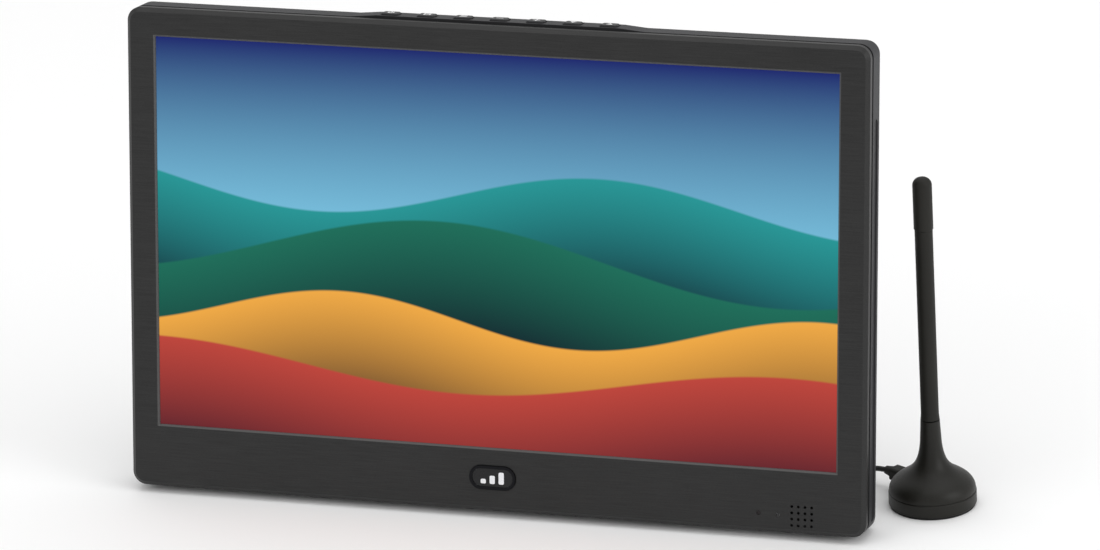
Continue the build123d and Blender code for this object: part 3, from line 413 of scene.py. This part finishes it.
# ---------------------------------------------------------------- what each slot is made of
WARM_BLACK, WARM_GREY = srgb(16, 15, 11), srgb(32, 31, 26)
materials = {
    "bezel_plastic": hairline_plastic(),
    "screen": screen(),
    "circuit_board": circuit_board(),
    "cover_plastic": cover_plastic(),
    "stand_plastic": moulded_plastic("stand_plastic", srgb(34, 34, 36), srgb(46, 46, 48), 0.5, 1.8, 0.35),
    "button_plastic": moulded_plastic("button_plastic", srgb(30, 30, 32), srgb(42, 42, 44), 0.42, 1.2, 0.15),
    "badge_plate": moulded_plastic("badge_plate", srgb(16, 16, 18), srgb(26, 26, 28), 0.2, 0.8, 0.05, 0.1),
    "dark_lens": moulded_plastic("dark_lens", srgb(10, 4, 6), srgb(20, 9, 12), 0.12, 0.8, 0.03, 0.1),
    "foam": moulded_plastic("foam", srgb(24, 24, 24), srgb(44, 44, 44), 0.9, 3.5, 0.8),
    "white_film": moulded_plastic("white_film", srgb(232, 232, 232), srgb(246, 246, 246), 0.55, 2.0, 0.1, 0.05),
    "component_black": moulded_plastic("component_black", srgb(22, 22, 24), srgb(38, 38, 40), 0.45, 2.2, 0.3, 0.1),
    "connector_white": moulded_plastic("connector_white", srgb(214, 208, 192), srgb(232, 228, 214), 0.5),
    "speaker_paper": moulded_plastic("speaker_paper", srgb(44, 41, 38), srgb(70, 66, 60), 0.85, 2.6, 0.9),
    "battery_pouch": moulded_plastic("battery_pouch", srgb(160, 166, 176), srgb(190, 196, 204), 0.3, 0.9, 0.5),
    "wire_insulation": moulded_plastic("wire_insulation", srgb(150, 18, 14), srgb(186, 34, 26), 0.4, 0.8, 0.1, 0.05),
    "ribbon": moulded_plastic("ribbon", srgb(206, 206, 198), srgb(228, 228, 222), 0.4, 1.4, 0.1, 0.05),
    "rubber": moulded_plastic("rubber", srgb(24, 24, 24), srgb(40, 40, 40), 0.8, 2.4, 0.5),
    "antenna_plastic": moulded_plastic("antenna_plastic", WARM_BLACK, WARM_GREY, 0.46, 1.6, 0.25),
    "antenna_rubber": moulded_plastic("antenna_rubber", WARM_BLACK, WARM_GREY, 0.6, 1.6, 0.35),
    "cord": moulded_plastic("cord", srgb(18, 18, 18), srgb(32, 32, 32), 0.45, 1.4, 0.2, 0.0),
    "magnet": moulded_plastic("magnet", srgb(64, 64, 68), srgb(92, 92, 96), 0.5, 1.2, 0.5),
    "badge_trim": badge_metal(),
    "steel": metal("steel", srgb(168, 170, 174), srgb(204, 206, 210), 0.32, (0.2, 1, 1)),
    "aluminium": metal("aluminium", srgb(186, 188, 192), srgb(218, 220, 222), 0.4, (1, 0.1, 1)),
    "brass": metal("brass", srgb(198, 160, 84), srgb(226, 192, 118), 0.28),
    "nickel": metal("nickel", srgb(200, 196, 188), srgb(226, 222, 214), 0.22),
    "light_pipe": clear_plastic("light_pipe", srgb(40, 40, 44)),
    "light_guide": clear_plastic("light_guide", srgb(226, 234, 240), 0.1),
}
for part in frame["record"]["subparts"]:
    for holder in frame["nodes"][part["node"]].material_slots:
        holder.material = materials[part["material_slot"]]
cord.data.materials.append(materials["cord"])


# ---------------------------------------------------------------- marks on the buttons
def flat_marks(name, outlines, lift, thickness):
    """Printed marks on the top of the set, from closed outlines of (x, depth) in millimetres."""
    mesh, work = bpy.data.meshes.new(name), bmesh.new()
    for outline in outlines:
        rings = []
        for level in (lift, lift + thickness):
            rings.append([work.verts.new(inside(x, level, depth)) for x, depth in outline])
        work.faces.new(rings[1])
        work.faces.new(rings[0][::-1])
        for low, low_next, high_next, high in zip(
            rings[0], rings[0][1:] + rings[0][:1], rings[1][1:] + rings[1][:1], rings[1]
        ):
            work.faces.new((low, low_next, high_next, high))
    bmesh.ops.recalc_face_normals(work, faces=work.faces)
    work.to_mesh(mesh)
    work.free()
    piece = bpy.data.objects.new(name, mesh)
    bpy.context.collection.objects.link(piece)
    return piece


def bar(x, depth, width, length, turn=0.0):
    """Corners of a bar centred at (x, depth), turned anticlockwise as seen from above."""
    corners = ((-width, -length), (width, -length), (width, length), (-width, length))
    return [
        (x + (a * cos(turn) - b * sin(turn)) / 2, depth + (a * sin(turn) + b * cos(turn)) / 2) for a, b in corners
    ]


def arc_band(x, depth, radius, width, start, sweep, pieces=18):
    """A band along an arc, as short quads end to end."""
    quads = []
    for step in range(pieces):
        ends = [start + sweep * (step + side) / pieces for side in (0, 1)]
        inner, outer = [[(x + r * cos(a), depth + r * sin(a)) for a in ends] for r in (radius - width, radius)]
        quads.append([inner[0], outer[0], outer[1], inner[1]])
    return quads


BUTTON_PITCH, BUTTON_DEPTH, BUTTON_TOP = 13.67, 9.6, 179.1
MARK, LINE = 2.6, 0.5  # overall size of a mark and the thickness of its lines
ARROW_BASE, ARROW_TIP = 0.4, 0.45  # ends of a triangle from its middle, in sizes of a mark
INK_LIFT, INK = 0.01, 0.04


def mark_outlines(name, x, depth):
    """Each button's generic mark, drawn about the middle of its cap."""
    if name == "power":
        ring = arc_band(x, depth, MARK / 2, LINE, radians(125), radians(290))
        return ring + [bar(x, depth + MARK * 0.3, LINE, MARK * 0.55)]
    if name == "source":
        bars = [bar(x, depth + side * (MARK - LINE) / 2, MARK, LINE) for side in (-1, 1)]
        bars += [bar(x + side * (MARK - LINE) / 2, depth, LINE, MARK - 2 * LINE) for side in (-1, 1)]
        return bars
    if name == "menu":
        return [bar(x, depth + side * (MARK - LINE) / 2, MARK, LINE) for side in (-1, 0, 1)]
    if name.startswith("volume"):
        bars = [bar(x, depth, MARK, LINE)]
        arm = (MARK - LINE) / 2
        if name == "volume_up":
            bars += [bar(x, depth + side * (arm + LINE) / 2, LINE, arm) for side in (-1, 1)]
        return bars
    way = MARK if name == "channel_up" else -MARK
    base, tip = depth - way * ARROW_BASE, depth + way * ARROW_TIP
    return [[(x - MARK / 2, base), (x + MARK / 2, base), (x, tip)]]


BUTTONS = ("power", "source", "menu", "volume_down", "volume_up", "channel_down", "channel_up")
for number, name in enumerate(BUTTONS):
    outlines = mark_outlines(name, (number - 3) * BUTTON_PITCH, BUTTON_DEPTH)
    mark = flat_marks(f"{name}_mark", outlines, BUTTON_TOP + INK_LIFT, INK)
    mark.data.materials.append(materials["white_film"])
    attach(mark, f"{name}_button")


# ---------------------------------------------------------------- the tie around the coil
TIE_WIDTH, TIE_THICKNESS, TIE_GAP, TIE_STEPS = 5.2, 0.42, 0.12, 40
TIE_ROOM, TIE_PINCH, TIE_SQUARENESS = 0.2, 0.12, 0.5  # slack at the sides, narrowing, roundness of the loop


def coil_tie():
    """A soft strap round the coil's turns on its left side, a little narrower on the outside."""
    middle = COIL_CENTRE + Vector((-COIL_RADIUS, 0, COIL_FLOOR + LAYER_RISE * (COIL_LAYERS - 1) / 2))
    reach_across = TURN_PITCH + CORD_DIAMETER / 2 + TIE_GAP + TIE_ROOM
    reach_up = LAYER_RISE * (COIL_LAYERS - 1) / 2 + CORD_DIAMETER / 2 + TIE_GAP
    mesh, work = bpy.data.meshes.new("coil_tie"), bmesh.new()
    rings = []
    for step in range(TIE_STEPS):
        angle = 2 * pi * step / TIE_STEPS
        way = Vector((cos(angle), 0, sin(angle)))
        corner = Vector(
            (
                reach_across * abs(way.x) ** TIE_SQUARENESS * (1 if way.x > 0 else -1),
                0,
                reach_up * abs(way.z) ** TIE_SQUARENESS * (1 if way.z > 0 else -1),
            )
        )
        half_width = TIE_WIDTH / 2 * (1 - TIE_PINCH * max(0.0, cos(angle - pi)))
        ring = []
        for out in (0, TIE_THICKNESS):
            for side in (-1, 1):
                place = middle + corner + corner.normalized() * out + Vector((0, side * half_width, 0))
                ring.append(work.verts.new(place * MM))
        rings.append(ring)
    for ring, after in zip(rings, rings[1:] + rings[:1]):
        for a, b in ((0, 1), (1, 3), (3, 2), (2, 0)):
            work.faces.new((ring[a], ring[b], after[b], after[a]))
    bmesh.ops.recalc_face_normals(work, faces=work.faces)
    work.to_mesh(mesh)
    work.free()
    for face in mesh.polygons:
        face.use_smooth = True
    piece = bpy.data.objects.new("coil_tie", mesh)
    bpy.context.collection.objects.link(piece)
    return piece


tie = coil_tie()
tie.data.materials.append(materials["rubber"])
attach(tie, "set")


# ---------------------------------------------------------------- floor and light
FLOOR_REACH = 6.0


def make_floor():
    """A plain pale sheet far larger than the view."""
    mesh = bpy.data.meshes.new("floor")
    corners = [(x * FLOOR_REACH, y * FLOOR_REACH, 0) for x, y in ((-1, -1), (1, -1), (1, 1), (-1, 1))]
    mesh.from_pydata(corners, [], [(0, 1, 2, 3)])
    floor = bpy.data.objects.new("floor", mesh)
    bpy.context.collection.objects.link(floor)
    paper = surface("floor_paper", Base_Color=srgb(250, 250, 250), Roughness=0.9, Specular_IOR_Level=0.2)[0]
    floor.data.materials.append(paper)


def area_light(name, place, target, size, power):
    """A white rectangular light at a place, facing its target."""
    data = bpy.data.lights.new(name, "AREA")
    data.shape, data.energy = "RECTANGLE", power
    data.size, data.size_y = size
    light = bpy.data.objects.new(name, data)
    light.location = place
    light.rotation_euler = (Vector(target) - Vector(place)).to_track_quat("-Z", "Y").to_euler()
    bpy.context.collection.objects.link(light)


make_floor()
CENTRE = (0.02, 0.0, 0.09)
area_light("overhead", (0.0, 0.2, 1.9), CENTRE, (2.0, 2.0), 13)
area_light("front_left", (-1.5, -1.5, 1.2), CENTRE, (1.2, 1.2), 6)
area_light("right_side", (1.7, -0.4, 0.9), CENTRE, (1.0, 1.2), 9)

world = bpy.data.worlds.new("studio")
world.use_nodes = True
world.node_tree.nodes["Background"].inputs["Color"].default_value = (1, 1, 1, 1)
world.node_tree.nodes["Background"].inputs["Strength"].default_value = 0.7
bpy.context.scene.world = world
bpy.context.scene.view_settings.view_transform = "Standard"
